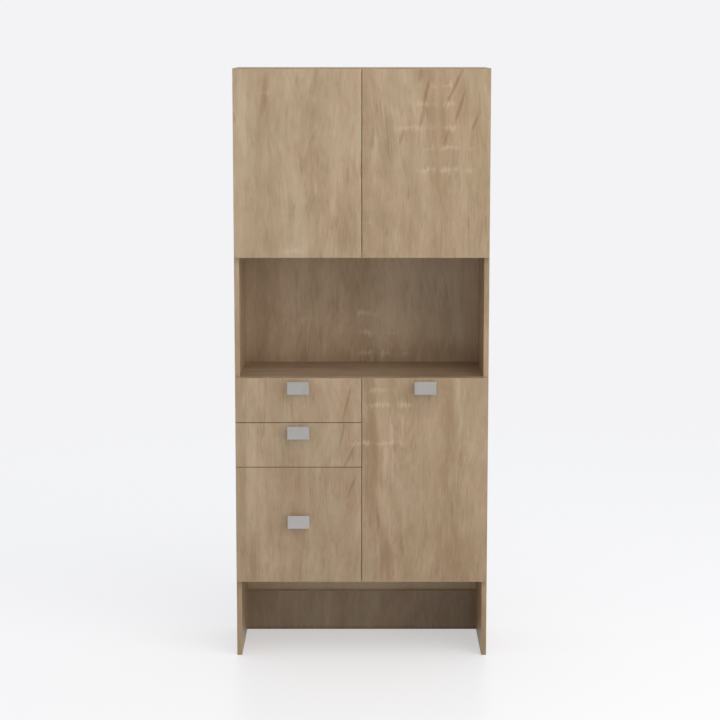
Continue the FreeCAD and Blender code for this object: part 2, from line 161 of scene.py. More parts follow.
def ramp_colour(tree, value, stops, interpolation="LINEAR"):
    """Colour that follows a value; a stop is a value and its colour."""
    ramp = wire(tree, "ShaderNodeValToRGB", {"Fac": value})
    ramp.color_ramp.interpolation = interpolation
    while len(ramp.color_ramp.elements) < len(stops):
        ramp.color_ramp.elements.new(0.5)
    for element, (position, colour) in zip(ramp.color_ramp.elements, stops):
        element.position = position
        element.color = colour
    return ramp.outputs["Color"]


print("helpers for single nodes ready")

# %% [markdown]
# Some jobs take several nodes: adding up layers, starting a group with named sockets, placing it in
# a tree, starting a finish, and leading colour, gloss and relief to its shader.

# %% Helpers for groups and finishes
def weighted_sum(tree, start, terms):
    """start plus each value's distance from its middle, times its weight."""
    total = start
    for value, middle, weight in terms:
        part = calculate(tree, "MULTIPLY", calculate(tree, "SUBTRACT", value, middle), weight)
        total = calculate(tree, "ADD", part, total)
    return total


def start_group(name, inputs, outputs, kind="ShaderNodeTree"):
    """New node group with named sockets; gives back its tree, what it is given and what it gives."""
    tree = bpy.data.node_groups.new(name, kind)
    for socket_name, holds in inputs.items():
        tree.interface.new_socket(socket_name, in_out="INPUT", socket_type="NodeSocket" + holds)
    for socket_name, holds in outputs.items():
        tree.interface.new_socket(socket_name, in_out="OUTPUT", socket_type="NodeSocket" + holds)
    given = tree.nodes.new("NodeGroupInput").outputs
    gives = tree.nodes.new("NodeGroupOutput").inputs
    return tree, given, gives


def place_group(tree, group, inputs):
    """Put a shader group into a tree and fill its inputs."""
    return wire(tree, "ShaderNodeGroup", inputs, node_tree=group).outputs


def new_finish(name):
    """Empty material with a Principled shader; gives back the material, its tree and the shader."""
    finish = bpy.data.materials.new(name)
    finish.use_nodes = True
    return finish, finish.node_tree, finish.node_tree.nodes["Principled BSDF"]


def paint(tree, shader, colour, roughness, height, strength, depth):
    """Lead colour, roughness and relief to the shader of a finish."""
    relief = wire(tree, "ShaderNodeBump", {"Height": height, "Strength": strength, "Distance": depth})
    tree.links.new(colour, shader.inputs["Base Color"])
    tree.links.new(roughness, shader.inputs["Roughness"])
    tree.links.new(relief.outputs[0], shader.inputs["Normal"])


def dress(node, finish):
    """Give a solid its finish in place of the plain one it came with."""
    materials = nodes[node].data.materials
    materials.clear()
    materials.append(finish)


print("helpers for groups and finishes ready")

# %% [markdown]
# ## Floor and light
# The cabinet stands in a white studio with no edges to be seen. A round pale floor that turns clear
# towards its rim melts into the white world behind it. The floor also glows a little where the
# camera or a shiny surface sees it, but not for the soft light that it throws back on to the boards,
# so it looks white without lighting the cabinet from below.

# %% Floor
FLOOR_RADIUS = 7.0
FLOOR_RIM_SEGMENTS = 96
FLOOR_FADE_START = 1.6
FLOOR_FADE_END = 5.5
FLOOR_GLOW = 0.47
FLOOR_COLOUR = (0.54, 0.54, 0.54, 1)
FLOOR_ROUGHNESS = 0.35
FLOOR_SHINE = 0.12

rim = []
for step in range(FLOOR_RIM_SEGMENTS):
    turn = 2 * math.pi * step / FLOOR_RIM_SEGMENTS
    rim.append((FLOOR_RADIUS * math.cos(turn), FLOOR_RADIUS * math.sin(turn), 0))
floor_mesh = bpy.data.meshes.new("studio_floor")
floor_mesh.from_pydata(rim, [], [list(range(FLOOR_RIM_SEGMENTS))])
floor = bpy.data.objects.new("studio_floor", floor_mesh)
bpy.context.scene.collection.objects.link(floor)
floor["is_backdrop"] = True

floor_finish, tree, shader = new_finish("studio_floor")
from_middle = measure(tree, object_place(tree))
clear = fade(tree, from_middle, FLOOR_FADE_START, FLOOR_FADE_END, 1.0, 0.0)
tree.links.new(clear, shader.inputs["Alpha"])
bounced = wire(tree, "ShaderNodeLightPath").outputs["Is Diffuse Ray"]
glow = calculate(tree, "MULTIPLY", calculate(tree, "SUBTRACT", 1.0, bounced), FLOOR_GLOW)
tree.links.new(glow, shader.inputs["Emission Strength"])
shader.inputs["Emission Color"].default_value = (1, 1, 1, 1)
shader.inputs["Base Color"].default_value = FLOOR_COLOUR
shader.inputs["Roughness"].default_value = FLOOR_ROUGHNESS
shader.inputs["Specular IOR Level"].default_value = FLOOR_SHINE
floor_mesh.materials.append(floor_finish)
print("floor radius:", FLOOR_RADIUS)

# %% [markdown]
# The even world light gives the soft shade in the niche and under the cabinet; it is a touch cool,
# and the lamps a touch warm, so shade looks greyer than the lit fronts. A large lamp high in front
# makes the upper doors a little brighter. A second one stands low on the right, so its light reaches
# into the niche and the toe space from that side and leaves their right halves in shade.

# %% Light
WORLD_SEEN = (0.896, 0.896, 0.913, 1)
WORLD_LIGHT = (0.68, 0.69, 0.725, 1)
LAMP_TARGET = Vector((0.0, 0.0, 1.0))
LAMP_COLOUR = (1.0, 0.975, 0.93)

world = bpy.data.worlds.new("white_studio")
world.use_nodes = True
bpy.context.scene.world = world
sky = world.node_tree
seen = wire(sky, "ShaderNodeLightPath").outputs["Is Camera Ray"]
sky_colour = mix_colours(sky, seen, WORLD_LIGHT, WORLD_SEEN)
sky.links.new(sky_colour, sky.nodes["Background"].inputs["Color"])


def soft_lamp(name, place, side, power):
    """Square area lamp that faces the cabinet; place and side in metres, power in watts."""
    lamp_data = bpy.data.lights.new(name, "AREA")
    lamp_data.shape = "SQUARE"
    lamp_data.size = side
    lamp_data.energy = power
    lamp_data.color = LAMP_COLOUR
    lamp = bpy.data.objects.new(name, lamp_data)
    lamp.location = place
    lamp.rotation_euler = (LAMP_TARGET - Vector(place)).to_track_quat("-Z", "Y").to_euler()
    bpy.context.scene.collection.objects.link(lamp)


soft_lamp("high_lamp", place=(1.4, -2.1, 3.7), side=3.2, power=41.0)
soft_lamp("low_lamp", place=(3.2, -2.8, 0.9), side=2.4, power=28.5)
bpy.context.scene.view_settings.view_transform = "Standard"
print("lamps:", [lamp.name for lamp in bpy.data.lights])

# %% [markdown]
# ## Oak décor
# The boards are chipboard under a printed paper: pale oak, sawn rough, so fine dark pores and
# drawn-out streaks run with the grain and short pale saw marks run across it. A photograph of oak
# would be quick, but here the pattern is worked out as wood grows. A tree's rings are circles
# round its heart, and a board cut slightly aslant through them shows long lines at its sides and
# pointed arches in the middle. So the group measures the distance to a leaning heart line, bends it
# with noise, and cuts it into rings. One shader group holds all of it, and every board has its own
# heart and its own shift.

# %% The oak group: rings
SWAY_STRETCH = (2.6, 2.6, 1.7)
SWAY_REACH = 0.10
HEART_TILT = 0.07
RING_WIDTH = 0.0075
RING_RISE = (0.0, 0.15)
RING_FALL = (0.75, 0.30)
WOBBLE_STRETCH = (9.0, 9.0, 1.8)
WOBBLE_REACH = 0.05
JITTER_STRETCH = (55.0, 55.0, 9.0)
JITTER_REACH = 0.012

oak, given, gives = start_group(
    "oak_decor",
    {"Place": "Vector", "Heart": "Vector", "Saw": "Float", "Tone": "Float", "Shade Wash": "Color"},
    {"Color": "Color", "Roughness": "Float", "Height": "Float"},
)
sway = noise(oak, given["Place"], SWAY_STRETCH, detail=1.5)
sideways = calculate(oak, "MULTIPLY", calculate(oak, "SUBTRACT", sway, 0.5), SWAY_REACH)
grain = calculate_vector(oak, "ADD", given["Place"], join(oak, x=sideways))
from_heart = split(oak, calculate_vector(oak, "SUBTRACT", grain, given["Heart"]))
tilted = calculate(oak, "MULTIPLY", from_heart["Z"], HEART_TILT)
below = calculate(oak, "ADD", tilted, from_heart["Y"])
distance = measure(oak, join(oak, x=from_heart["X"], y=below))
wobble = noise(oak, grain, WOBBLE_STRETCH)
jitter = noise(oak, grain, JITTER_STRETCH)
bent = weighted_sum(oak, distance, ((wobble, 0.5, WOBBLE_REACH), (jitter, 0.5, JITTER_REACH)))
ring_count = calculate(oak, "DIVIDE", bent, RING_WIDTH)
in_ring = calculate(oak, "FRACT", ring_count)
ring_number = calculate(oak, "FLOOR", ring_count)
ring_chance = wire(oak, "ShaderNodeTexWhiteNoise", {"W": ring_number}, noise_dimensions="1D")
early_wood = calculate(oak, "MULTIPLY", fade(oak, in_ring, *RING_RISE), fade(oak, in_ring, *RING_FALL))
rings = calculate(oak, "MULTIPLY", early_wood, ring_chance.outputs["Value"])
print("ring width in millimetres:", RING_WIDTH * 1000)

# %% [markdown]
# Rings alone look drawn with a ruler. Wide soft bands, mottled patches, short flecks, pores and
# sparse checks, as small cracks along the grain are called, break them up. Some checks are dark and
# some gleam, and a slow patchwork lets the figure stand out in some places and fade in others.

# %% The oak group: bands, checks and pores
BAND_STRETCH = (13.0, 13.0, 1.1)
MOTTLE_STRETCH = (26.0, 26.0, 8.0)
PATCH_STRETCH = (6.0, 6.0, 3.0)
PATCH_FADE = (0.36, 0.64, 0.25, 1.0)
FLECK_STRETCH = (120.0, 120.0, 24.0)
CHECK_STRETCH = (80.0, 80.0, 11.0)
CHECK_FADE = (0.60, 0.70)
GLEAM_FADE = (0.40, 0.26)
FIBRE_STRETCH = (620.0, 620.0, 18.0)
PORE_STRETCH = (1300.0, 1300.0, 40.0)
PORE_FADE = (0.55, 0.66)
PORES_IN_EARLY_WOOD = 0.7

bands = noise(oak, grain, BAND_STRETCH)
mottle = noise(oak, grain, MOTTLE_STRETCH, detail=3.0, roughness=0.6)
patches = fade(oak, noise(oak, grain, PATCH_STRETCH, detail=1.0), *PATCH_FADE)
check_noise = noise(oak, grain, CHECK_STRETCH, detail=1.5)
checks = calculate(oak, "MULTIPLY", fade(oak, check_noise, *CHECK_FADE), patches)
gleams = calculate(oak, "MULTIPLY", fade(oak, check_noise, *GLEAM_FADE), patches)
figure = calculate(oak, "MULTIPLY", rings, patches)
flecks = noise(oak, grain, FLECK_STRETCH, roughness=0.6)
fibres = noise(oak, grain, FIBRE_STRETCH, roughness=0.6)
pore_room = weighted_sum(oak, 1.0, ((early_wood, 1.0, PORES_IN_EARLY_WOOD),))
pore_noise = noise(oak, grain, PORE_STRETCH, detail=1.0)
pores = calculate(oak, "MULTIPLY", fade(oak, pore_noise, *PORE_FADE), pore_room)
print("pores across one metre:", PORE_STRETCH[0])

# %% [markdown]
# All layers add up to one tone between dark and pale, and a colour ramp turns the tone into wood.
# Each row of the sum is a layer, its middle and its weight; the contrast stays low, as in the print.
# Each board hands in its own mask of saw marks, its own middle tone and a grey tint of painted
# shade that darkens its print, white where it has none.
# The pores are a touch rougher and deeper than the rest, which shows as fine broken highlights when
# light grazes the board.

# %% The oak group: colour, gloss and relief
OAK_RAMP = (
    (0.18, (0.240, 0.139, 0.064, 1)),
    (0.42, (0.400, 0.276, 0.160, 1)),
    (0.58, (0.486, 0.359, 0.229, 1)),
    (0.85, (0.655, 0.519, 0.350, 1)),
)
OAK_ROUGHNESS = 0.44
TINT_STRETCH = (11.0, 11.0, 5.0)
TINT_FADE = (0.30, 0.70)
PINK_TINT = (1.020, 0.990, 0.990, 1)
OLIVE_TINT = (0.988, 1.002, 0.978, 1)

tone = weighted_sum(oak, given["Tone"], (
    (bands, 0.5, 0.38),
    (mottle, 0.5, 0.30),
    (flecks, 0.5, 0.14),
    (figure, 0.15, -0.055),
    (checks, 0.06, -0.09),
    (gleams, 0.05, 0.06),
    (fibres, 0.5, 0.05),
    (pores, 0.15, -0.065),
    (given["Saw"], 0.0, 0.17),
))
wood = ramp_colour(oak, tone, OAK_RAMP, "B_SPLINE")
drift = fade(oak, noise(oak, grain, TINT_STRETCH), *TINT_FADE)
tint = mix_colours(oak, drift, PINK_TINT, OLIVE_TINT)
tinted = mix_colours(oak, 1.0, wood, tint, "MULTIPLY")
# A grey tint multiplied in here paints shade on the boards that ask for it.
shade_washed = mix_colours(oak, 1.0, tinted, given["Shade Wash"], "MULTIPLY")
roughness = weighted_sum(oak, OAK_ROUGHNESS, ((pores, 0.2, 0.16), (bands, 0.5, 0.12)))
height = weighted_sum(oak, 0.5, ((pores, 0.0, -0.5), (rings, 0.2, -0.2), (given["Saw"], 0.0, -0.3)))
oak.links.new(shade_washed, gives["Color"])
oak.links.new(roughness, gives["Roughness"])
oak.links.new(height, gives["Height"])
print("oak ramp stops:", len(OAK_RAMP))

# %% [markdown]
# ## Streaks, saw rows and wear
# Some streaks are too broad or too bold to leave to chance: a brown band down the left of the lower
# door, pale ones beside it, and dark leaning checks in the upper doors. A second group makes one
# such streak, with ragged edges, wherever a board asks for it.

# %% The single streak group
RAGGED_STRETCH = (75.0, 75.0, 10.0)
RAGGED = 1.7
STREAK_FADE = (1.15, 0.35)

streak, given, gives = start_group(
    "single_streak",
    {"Place": "Vector", "Middle": "Vector", "Reach": "Vector", "Lean": "Float"},
    {"Mask": "Float"},
)
from_middle = split(streak, calculate_vector(streak, "SUBTRACT", given["Place"], given["Middle"]))
leaned = calculate(streak, "MULTIPLY", from_middle["Z"], given["Lean"])
straight = calculate(streak, "SUBTRACT", from_middle["X"], leaned)
centred = join(streak, x=straight, z=from_middle["Z"])
reached = measure(streak, calculate_vector(streak, "DIVIDE", centred, given["Reach"]))
ragged = noise(streak, given["Place"], RAGGED_STRETCH, detail=3.0, roughness=0.6)
edge = weighted_sum(streak, reached, ((ragged, 0.5, RAGGED),))
streak.links.new(fade(streak, edge, *STREAK_FADE), gives["Mask"])
print("streak group inputs:", [socket.name for socket in given if socket.name])

# %% [markdown]
# The saw marks run across the grain in short rows. Close up, a row is a band of short pale dashes
# that follow the grain and differ in length, so its edges look frayed. A third group makes one row
# wherever a board asks for it: fine noise gives the dashes, coarser noise lets the row swell, thin
# out and break off, and a slow ripple keeps it from being ruled straight.

# %% The saw row group
ROW_RIPPLE_STRETCH = (24.0, 24.0, 6.0)
ROW_RIPPLE = 0.026
DASH_STRETCH = (120.0, 120.0, 26.0)
DASH_FADE = (0.36, 0.64)
DASH_SHORT = 0.006
DASH_LONG = 0.018
DASH_CONTRAST = 0.65
CLUMP_STRETCH = (55.0, 55.0, 14.0)
CLUMP_FADE = (0.36, 0.62, 0.15, 1.0)
BREAK_STRETCH = (26.0, 26.0, 5.0)
BREAK_FADE = (0.40, 0.56, 0.1, 1.25)
ROW_END_FADE = (1.1, 0.7)

saw_row, given, gives = start_group(
    "saw_row", {"Place": "Vector", "Middle": "Vector", "Half Length": "Float"}, {"Mask": "Float"})
from_middle = split(saw_row, calculate_vector(saw_row, "SUBTRACT", given["Place"], given["Middle"]))
ripple = noise(saw_row, given["Place"], ROW_RIPPLE_STRETCH, detail=1.0)
rippled = weighted_sum(saw_row, from_middle["Z"], ((ripple, 0.5, ROW_RIPPLE),))
from_line = calculate(saw_row, "ABSOLUTE", rippled)
dash_noise = noise(saw_row, given["Place"], DASH_STRETCH, detail=3.0, roughness=0.6)
dashes = fade(saw_row, dash_noise, *DASH_FADE)
clumps = fade(saw_row, noise(saw_row, given["Place"], CLUMP_STRETCH), *CLUMP_FADE)
dash_share = calculate(saw_row, "MULTIPLY", dashes, clumps)
dash_half = weighted_sum(saw_row, DASH_SHORT, ((dash_share, 0.0, DASH_LONG),))
row_mask = fade(saw_row, from_line, dash_half, 0.0)
beside = calculate(saw_row, "ABSOLUTE", from_middle["X"])
along_row = calculate(saw_row, "DIVIDE", beside, given["Half Length"])
contrast = weighted_sum(saw_row, 1.0, ((dash_share, 1.0, DASH_CONTRAST),))
breaks = fade(saw_row, noise(saw_row, given["Place"], BREAK_STRETCH), *BREAK_FADE)
for factor in (contrast, fade(saw_row, along_row, *ROW_END_FADE), breaks):
    row_mask = calculate(saw_row, "MULTIPLY", row_mask, factor)
saw_row.links.new(row_mask, gives["Mask"])
print("dash length in millimetres:", DASH_LONG * 1000)

# %% [markdown]
# Along its corners a banded board is rubbed a little: the print thins out and a broken paler line
# shows. A point on a board lies on one face, so the second smallest of its distances to the faces
# of the board's box is its distance to the nearest corner line. A group works that out from the
# box, and noise breaks the line.

# %% The edge wear group
WEAR_WIDTH = 0.0016
WEAR_STRETCH = (90.0, 90.0, 90.0)
WEAR_FADE = (0.35, 0.65, 0.2, 1.0)

edge_wear, given, gives = start_group(
    "edge_wear", {"Place": "Vector", "Low": "Vector", "High": "Vector"}, {"Mask": "Float"})
past_low = calculate_vector(edge_wear, "SUBTRACT", given["Place"], given["Low"])
to_high = calculate_vector(edge_wear, "SUBTRACT", given["High"], given["Place"])
nearest = split(edge_wear, calculate_vector(edge_wear, "MINIMUM", past_low, to_high))
smaller = calculate(edge_wear, "MINIMUM", nearest["X"], nearest["Y"])
larger = calculate(edge_wear, "MAXIMUM", nearest["X"], nearest["Y"])
second = calculate(edge_wear, "MAXIMUM", smaller, calculate(edge_wear, "MINIMUM", larger, nearest["Z"]))
wear_noise = noise(edge_wear, given["Place"], WEAR_STRETCH, detail=3.0, roughness=0.6)
rubbed = fade(edge_wear, wear_noise, *WEAR_FADE)
wear = calculate(edge_wear, "MULTIPLY", fade(edge_wear, second, WEAR_WIDTH, 0.0), rubbed)
edge_wear.links.new(wear, gives["Mask"])
print("edge wear in millimetres:", WEAR_WIDTH * 1000)

# %% [markdown]
# ## Oak boards
# The edges of a board are banded with the same print. The rear edges of the sides and the top stay
# raw, as on most cabinets that stand against a wall, and show the chips of the core. The chips are
# the cells of a Voronoi pattern, each with its own brown.

# %% The chipboard core group
CHIP_STRETCH = (520.0, 520.0, 520.0)
CHIP_RAMP = (
    (0.0, (0.165, 0.098, 0.050, 1)),
    (0.5, (0.36, 0.25, 0.15, 1)),
    (1.0, (0.56, 0.43, 0.29, 1)),
)

chips, given, gives = start_group(
    "chipboard_core", {"Place": "Vector"}, {"Color": "Color", "Height": "Float"})
chip_place = calculate_vector(chips, "MULTIPLY", given["Place"], CHIP_STRETCH)
cells = wire(chips, "ShaderNodeTexVoronoi", {"Vector": chip_place, "Scale": 1.0, "Randomness": 1.0})
chip_tone = wire(chips, "ShaderNodeSeparateColor", {0: cells.outputs["Color"]}).outputs[0]
chips.links.new(ramp_colour(chips, chip_tone, CHIP_RAMP), gives["Color"])
chips.links.new(cells.outputs["Distance"], gives["Height"])
print("chip size in millimetres:", round(1000 / CHIP_STRETCH[0], 1))

# %% [markdown]
# Each board lies its own way: fronts and backs show their width along X, upright side boards along
# Y, and lying boards have their grain along X. At the two ends of a board the grain runs along the
# strip of edge band, so there the pattern is turned.

# %% Oak on one board
LAYS = {"front": "XYZ", "side": "YXZ", "lying": "YZX"}
END_BAND = 0.0004
RAW_EDGE_BAND = 0.0004
RELIEF_STRENGTH = 0.25
RELIEF_DEPTH = 0.0003
HEART_DEPTH = 0.01
MIDDLE_TONE = 0.5
WORN_TONE = 0.10
NO_SHADE_WASH = (1, 1, 1, 1)


def lay_grain(tree, node, lay):
    """Place on a board, turned so that the grain runs along Z, and the mask of its two ends."""
    low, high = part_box(node)
    across, through, along = LAYS[lay]
    parts = split(tree, object_place(tree))
    on_face = join(tree, parts[across], parts[through], parts[along])
    on_end = join(tree, parts[along], parts[through], parts[across])
    axis = "XYZ".index(along)
    lower_end = calculate(tree, "LESS_THAN", parts[along], low[axis] + END_BAND)
    upper_end = calculate(tree, "GREATER_THAN", parts[along], high[axis] - END_BAND)
    at_end = calculate(tree, "MAXIMUM", lower_end, upper_end)
    turned = wire(tree, "ShaderNodeMix", {0: at_end, 4: on_face, 5: on_end}, data_type="VECTOR")
    return turned.outputs[1], at_end


def add_streaks(tree, turned, tone, streaks):
    """Tone with streaks: place across and along, half width, half length, lean and strength of each."""
    for across, along, half_width, half_length, lean, strength in streaks:
        inputs = {"Place": turned, "Middle": (across, 0, along), "Lean": lean}
        inputs["Reach"] = (half_width, 1, half_length)
        mask = place_group(tree, streak, inputs)["Mask"]
        tone = weighted_sum(tree, tone, ((mask, 0.0, strength),))
    return tone


def saw_marks(tree, turned, rows):
    """Mask of saw rows: place across and along, half length and strength of each."""
    saw = 0.0
    for across, along, half_length, strength in rows:
        inputs = {"Place": turned, "Middle": (across, 0, along), "Half Length": half_length}
        mask = place_group(tree, saw_row, inputs)["Mask"]
        saw = calculate(tree, "MAXIMUM", saw, calculate(tree, "MULTIPLY", mask, strength))
    return saw


def oak_board(node, lay, shift, heart, rows=(), streaks=(), tone=MIDDLE_TONE,
              painted_end_light=0.0, shade_wash=NO_SHADE_WASH, raw_rear=False):
    """Dress one board in oak décor, with its saw rows, its own streaks and any painted light or shade."""
    finish, tree, shader = new_finish("oak_" + node)
    low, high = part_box(node)
    place = object_place(tree)
    turned, at_end = lay_grain(tree, node, lay)
    worn = place_group(tree, edge_wear, {"Place": place, "Low": low, "High": high})["Mask"]
    tone = weighted_sum(tree, tone, ((worn, 0.0, WORN_TONE),))
    # On the two ends of such a board the tone is raised, as painted light, and the grey tint of painted
    # shade is left off.
    if painted_end_light:
        tone = weighted_sum(tree, tone, ((at_end, 0.0, painted_end_light),))
        shade_wash = mix_colours(tree, at_end, shade_wash, NO_SHADE_WASH)
    decor_inputs = {"Place": calculate_vector(tree, "ADD", turned, shift), "Shade Wash": shade_wash}
    decor_inputs["Heart"] = Vector((heart[0], HEART_DEPTH, heart[1])) + Vector(shift)
    decor_inputs["Tone"] = add_streaks(tree, turned, tone, streaks)
    decor_inputs["Saw"] = saw_marks(tree, turned, rows)
    decor = place_group(tree, oak, decor_inputs)
    colour, height = decor["Color"], decor["Height"]
    if raw_rear:
        raw = calculate(tree, "GREATER_THAN", split(tree, place)["Y"], high.y - RAW_EDGE_BAND)
        core = place_group(tree, chips, {"Place": place})
        colour = mix_colours(tree, raw, colour, core["Color"])
        height = wire(tree, "ShaderNodeMix", {0: raw, 2: height, 3: core["Height"]}).outputs[0]
    paint(tree, shader, colour, decor["Roughness"], height, RELIEF_STRENGTH, RELIEF_DEPTH)
    dress(node, finish)
    return finish


print("grain directions:", LAYS)

# %% [markdown]
# The lower fronts are cut from one sheet, so they share one shift and one set of streaks, and the
# figure runs on from drawer to drawer. Round each pull the print is painted a little paler, as
# painted light that lifts the shade the pull throws. Rows and streaks sit where the photograph
# shows them.

# %% Lower fronts
LOWER_ROWS = (
    (0.065, 0.867, 0.045, 1.0),
    (0.088, 0.819, 0.083, 1.1),
    (0.049, 0.694, 0.088, 1.2),
)
LOWER_STREAKS = (
    (0.032, 0.66, 0.028, 0.36, -0.03, -0.12),
    (0.072, 0.36, 0.022, 0.16, -0.15, -0.10),
    (0.095, 0.755, 0.007, 0.06, 0.0, 0.12),
    (0.129, 0.755, 0.006, 0.045, 0.0, 0.11),
    (0.073, 0.64, 0.007, 0.06, 0.0, 0.08),
    (0.097, 0.62, 0.006, 0.07, 0.0, 0.07),
    (-0.045, 0.83, 0.006, 0.06, 0.24, -0.13),
    (-0.063, 0.72, 0.006, 0.05, 0.15, -0.12),
    (-0.035, 0.66, 0.006, 0.05, 0.50, -0.13),
    (-0.030, 0.56, 0.006, 0.05, 0.40, -0.11),
    (-0.350, 0.55, 0.020, 0.25, 0.0, 0.07),
    (-0.345, 0.33, 0.012, 0.10, 0.0, -0.10),
    (0.230, 0.32, 0.240, 0.16, 0.0, -0.06),
)
PULLS = ("drawer_1_pull", "drawer_2_pull", "drawer_3_pull", "lower_door_pull")
# Patches of painted light round the pulls, set a little low where each pull's shade falls.
PULL_LIGHT_DROP = 0.008
PULL_LIGHT_HALF_WIDTH = 0.042
PULL_LIGHT_HALF_HEIGHT = 0.036
PULL_LIGHT_TONE = 0.12
LOWER_TONES = {
    "drawer_1_front": 0.515,
    "drawer_2_front": 0.53,
    "drawer_3_front": 0.498,
    "lower_door": 0.478,
}

# Paler patches round the pulls are painted light over the shade that each pull throws.
pull_light_patches = ()
for node in PULLS:
    low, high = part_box(node)
    middle = (low + high) / 2
    reach = (PULL_LIGHT_HALF_WIDTH, PULL_LIGHT_HALF_HEIGHT)
    pull_light_patches += ((middle.x, middle.z - PULL_LIGHT_DROP, *reach, 0.0, PULL_LIGHT_TONE),)
for node, tone in LOWER_TONES.items():
    oak_board(node, "front", shift=(0.0, 0.0, 0.031), heart=(0.12, -0.1),
              rows=LOWER_ROWS, streaks=LOWER_STREAKS + pull_light_patches, tone=tone)
print("lower fronts:", list(LOWER_TONES))

# %% [markdown]
# The upper doors are two other cuts. The left one is calm, with a pale strip at its outer edge; the
# right one has most of the saw rows and the boldest dark checks.

# %% Upper doors
UPPER_LEFT_ROWS = (
    (-0.221, 1.306, 0.046, 0.8),
    (-0.300, 1.795, 0.030, 0.5),
)
UPPER_LEFT_STREAKS = (
    (-0.372, 1.70, 0.020, 0.19, 0.0, 0.10),
    (-0.300, 1.80, 0.010, 0.08, 0.1, -0.10),
    (-0.045, 1.42, 0.050, 0.20, 0.1, -0.10),
)
UPPER_RIGHT_ROWS = (
    (0.247, 1.816, 0.035, 1.0),
    (0.233, 1.760, 0.068, 1.0),
    (0.203, 1.687, 0.105, 1.0),
    (0.273, 1.623, 0.080, 1.5),
    (0.260, 1.558, 0.093, 1.0),
    (0.029, 1.657, 0.026, 0.4),
    (0.029, 1.396, 0.030, 0.8),
)
UPPER_RIGHT_STREAKS = (
    (0.287, 1.815, 0.006, 0.065, 0.46, -0.18),
    (0.201, 1.805, 0.006, 0.050, 0.23, -0.17),
    (0.305, 1.756, 0.006, 0.065, 0.33, -0.16),
    (0.186, 1.718, 0.007, 0.030, 0.20, -0.15),
    (0.352, 1.706, 0.007, 0.030, 0.40, -0.15),
    (0.122, 1.656, 0.007, 0.030, 0.30, -0.12),
    (0.260, 1.655, 0.006, 0.035, 0.30, -0.12),
    (0.180, 1.850, 0.008, 0.030, 0.10, -0.12),
    (0.040, 1.60, 0.010, 0.09, 0.0, 0.10),
    (0.082, 1.70, 0.020, 0.18, 0.0, -0.06),
)

oak_board("upper_left_door", "front", shift=(3.1, 0.4, 1.7), heart=(-0.18, 0.9),
          rows=UPPER_LEFT_ROWS, streaks=UPPER_LEFT_STREAKS, tone=0.535)
oak_board("upper_right_door", "front", shift=(0.7, 4.9, 1.931), heart=(0.62, 0.9),
          rows=UPPER_RIGHT_ROWS, streaks=UPPER_RIGHT_STREAKS, tone=0.495)
print("saw rows on the upper doors:", len(UPPER_LEFT_ROWS) + len(UPPER_RIGHT_ROWS))

# %% [markdown]
# The boards of the carcass come from sheets of slightly different tone. The plinth board is the
# darkest, as painted shade: a lower tone and a grey tint darken its print, a dark line of painted
# shade runs along its foot where it meets the floor, and broader painted shade darkens its right
# half. Its banded upper edge is painted pale, as painted light. The niche floor has a thin grey tint
# of painted shade too, painted light makes it paler in front on the left, and painted shade makes it
# darker on the right. The right side panel darkens a little towards its foot.

# %% Carcass boards
LYING_TONE = 0.44
LYING_HEART = (0.02, -0.9)
LYING_BOARDS = ("niche_ceiling_panel", "niche_floor_panel", "bottom_panel", "upper_shelf", "lower_shelf")
LYING_STEP = Vector((1.3, 2.7, 0.6))
# Painted shade and light on the niche floor: a grey tint, darker back right, paler front left.
NICHE_FLOOR_SHADE_WASH = (0.84, 0.86, 0.93, 1)
NICHE_FLOOR_LIGHT_AND_SHADE = ((0.06, 0.25, 0.26, 0.24, 0.0, -0.07), (-0.10, -0.18, 0.09, 0.30, 0.0, 0.08))
# Painted shade on the plinth: its grey tint, a dark line along its foot and a darker right half.
PLINTH_SHADE_WASH = (0.76, 0.77, 0.81, 1)
PLINTH_SHADE_STREAKS = ((0.0, 0.0, 1.2, 0.011, 0.0, -0.20), (0.30, 0.066, 0.14, 0.20, 0.0, -0.05))
RIGHT_SIDE_STREAKS = ((-0.145, 0.06, 0.050, 0.20, 0.0, -0.11),)

# The plinth's lower tone is painted shade, and its upper edge is painted pale as painted light.
oak_board("rear_plinth_board", "front", shift=(8.2, 0.3, 2.9), heart=(0.1, -0.6),
          streaks=PLINTH_SHADE_STREAKS, tone=0.46, painted_end_light=0.45, shade_wash=PLINTH_SHADE_WASH)
oak_board("left_side_panel", "side", shift=(1.7, 2.3, 5.1), heart=(0.03, -0.4), raw_rear=True)
oak_board("right_side_panel", "side", shift=(4.9, 3.7, 7.3), heart=(-0.02, -0.4),
          streaks=RIGHT_SIDE_STREAKS, tone=0.46, raw_rear=True)
oak_board("lower_divider", "side", shift=(2.2, 5.9, 3.3), heart=(0.02, -0.4))
oak_board("top_panel", "lying", shift=(7.7, 4.1, 0.9), heart=LYING_HEART, tone=LYING_TONE, raw_rear=True)
for count, node in enumerate(LYING_BOARDS):
    own_look = {}
    if node == "niche_floor_panel":
        own_look = {"streaks": NICHE_FLOOR_LIGHT_AND_SHADE, "shade_wash": NICHE_FLOOR_SHADE_WASH}
    oak_board(node, "lying", shift=LYING_STEP * count, heart=LYING_HEART, tone=LYING_TONE, **own_look)
print("lying boards:", len(LYING_BOARDS) + 1)

# %% [markdown]
# ## Back sheets
# The back is thin fibreboard. Its front carries the same oak print and closes the niche and the
# cupboards; its rear is bare, brown and faintly mottled from pressed fibres. The sheet is only
# four millimetres thick, so the place along Y tells the two faces apart. Broad faint streaks paint
# shade along the foot of the niche and paint light at its top right, and a thin dark one runs up
# its middle.

